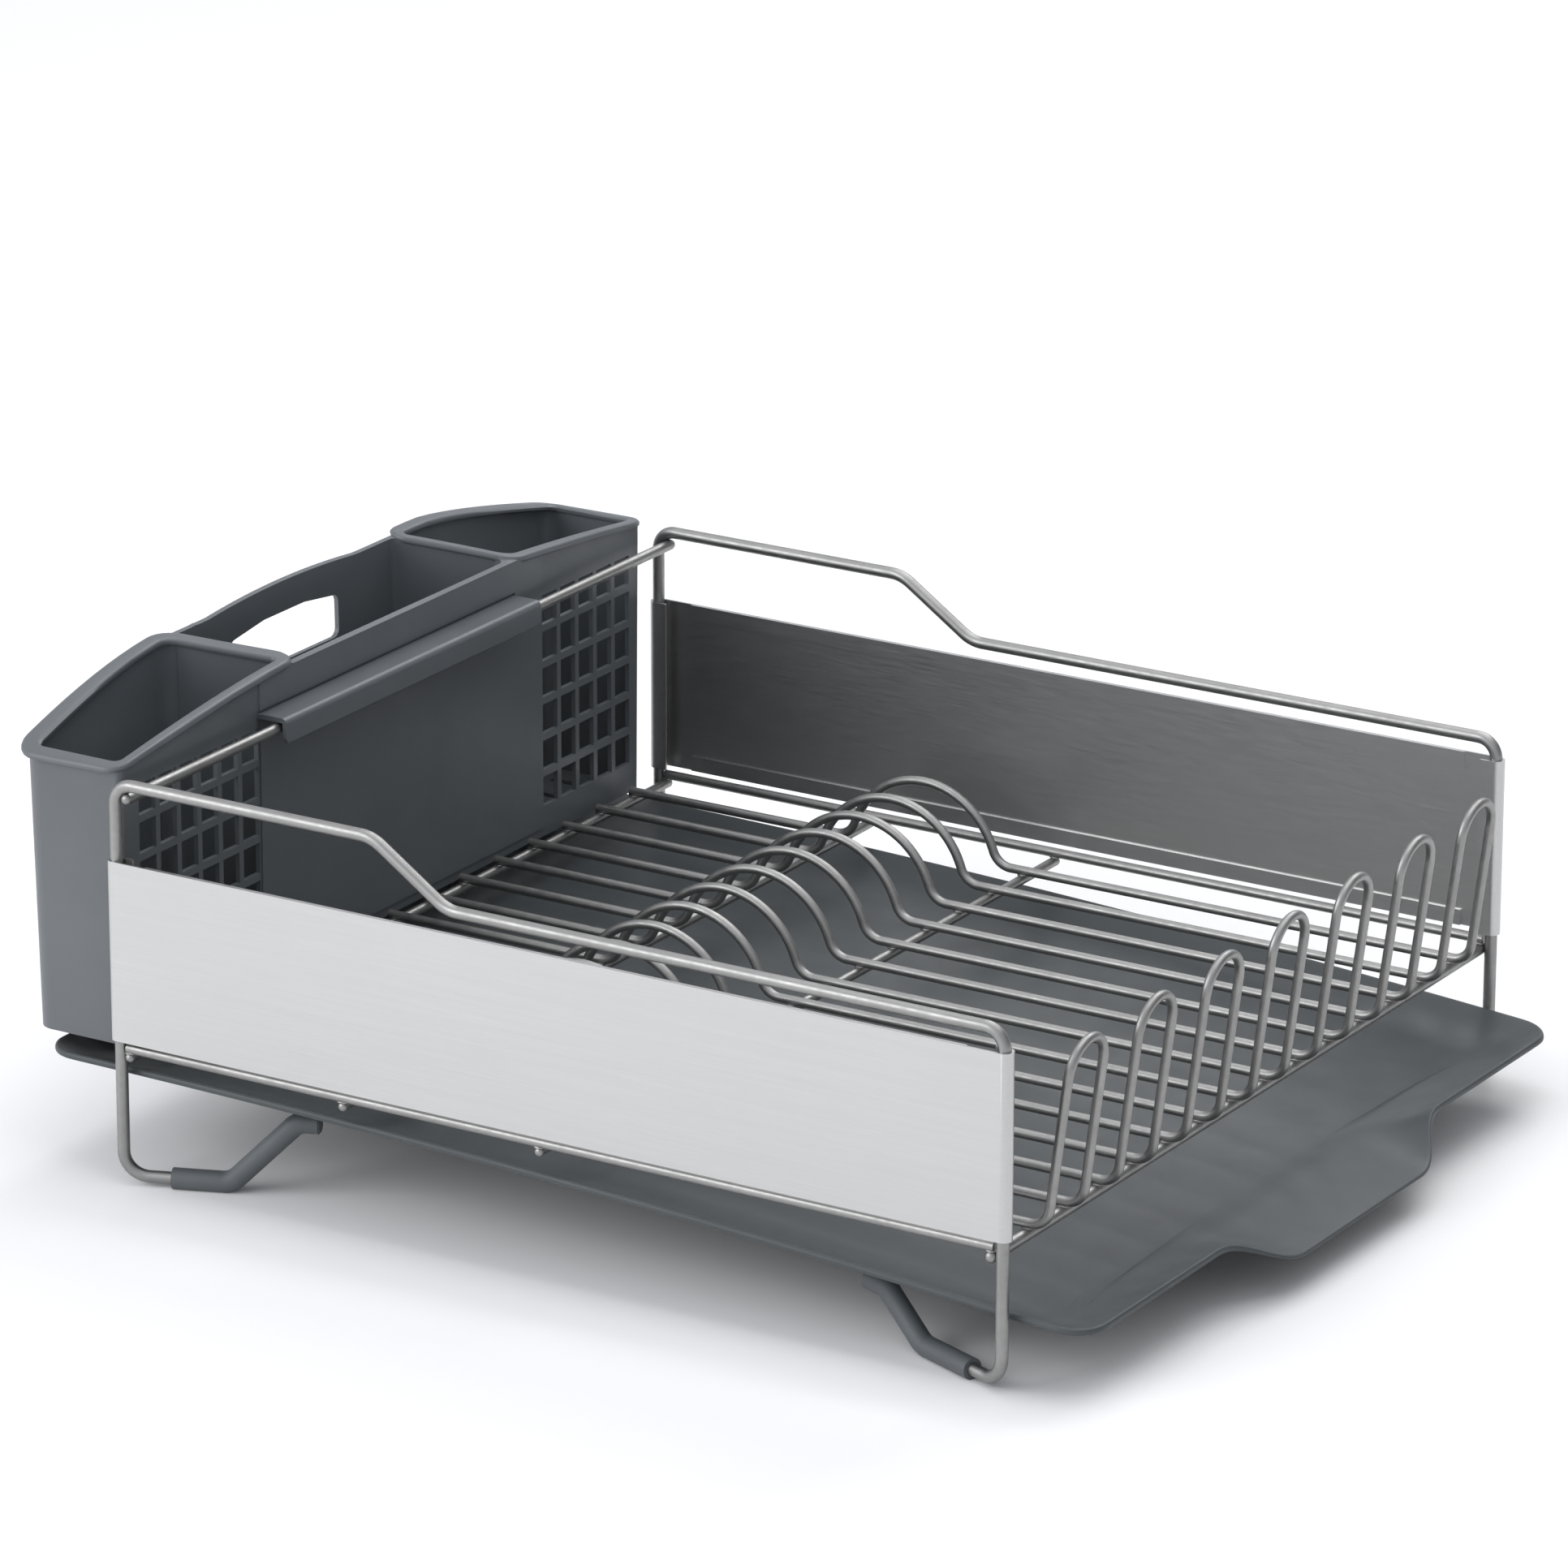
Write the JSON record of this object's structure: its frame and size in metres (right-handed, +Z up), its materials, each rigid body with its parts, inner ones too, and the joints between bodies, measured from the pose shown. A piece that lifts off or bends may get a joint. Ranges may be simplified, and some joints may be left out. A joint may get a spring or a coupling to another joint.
{
  "type": "dish drying rack",
  "caption": "Wire dish rack with steel side panels, plate humps and mug loops, over a sloping slide-out drain tray, with a lift-off utensil caddy.",
  "frame": {"origin": "on the worktop under the middle of the overall bounds, which is midway between the front and back posts and 3.5 mm from the middle of the left and right posts", "axes": "+Z up, +X from the utensil caddy towards the drain spout, along the steel panels; -Y is the side of the front panel"},
  "size_m": [0.4964, 0.395, 0.1895],
  "materials": {
    "wire_steel": "satin",
    "sheet_steel": "brushed",
    "sleeve_rubber": "matt",
    "tray_plastic": "satin",
    "caddy_plastic": "satin"
  },
  "bodies": {
    "rack": {"front_frame_wire": "wire_steel", "back_frame_wire": "wire_steel", "front_panel": "sheet_steel", "back_panel": "sheet_steel", "front_lower_wire": "wire_steel", "back_lower_wire": "wire_steel", "left_end_rail": "wire_steel", "cross_wire_1": "wire_steel", "cross_wire_2": "wire_steel", "right_end_rail": "wire_steel", "caddy_rail": "wire_steel", "deck_hairpin_1": "wire_steel", "deck_hairpin_2": "wire_steel", "deck_hairpin_3": "wire_steel", "deck_hairpin_4": "wire_steel", "deck_hairpin_5": "wire_steel", "deck_hairpin_6": "wire_steel", "deck_hairpin_7": "wire_steel", "foot_sleeve_front_left": "sleeve_rubber", "foot_sleeve_front_right": "sleeve_rubber", "foot_sleeve_back_left": "sleeve_rubber", "foot_sleeve_back_right": "sleeve_rubber"},
    "drain_tray": {"drain_tray": "tray_plastic"},
    "utensil_caddy": {"utensil_caddy": "caddy_plastic"}
  },
  "joints": [
    {"name": "tray_slide", "type": "slide", "parent": "rack", "child": "drain_tray", "axis": [1, 0, 0], "range_m": [0, 0.5]},
    {"name": "caddy_lift", "type": "slide", "parent": "rack", "child": "utensil_caddy", "axis": [0, 0, 1], "range_m": [0, 0.13]}
  ]
}
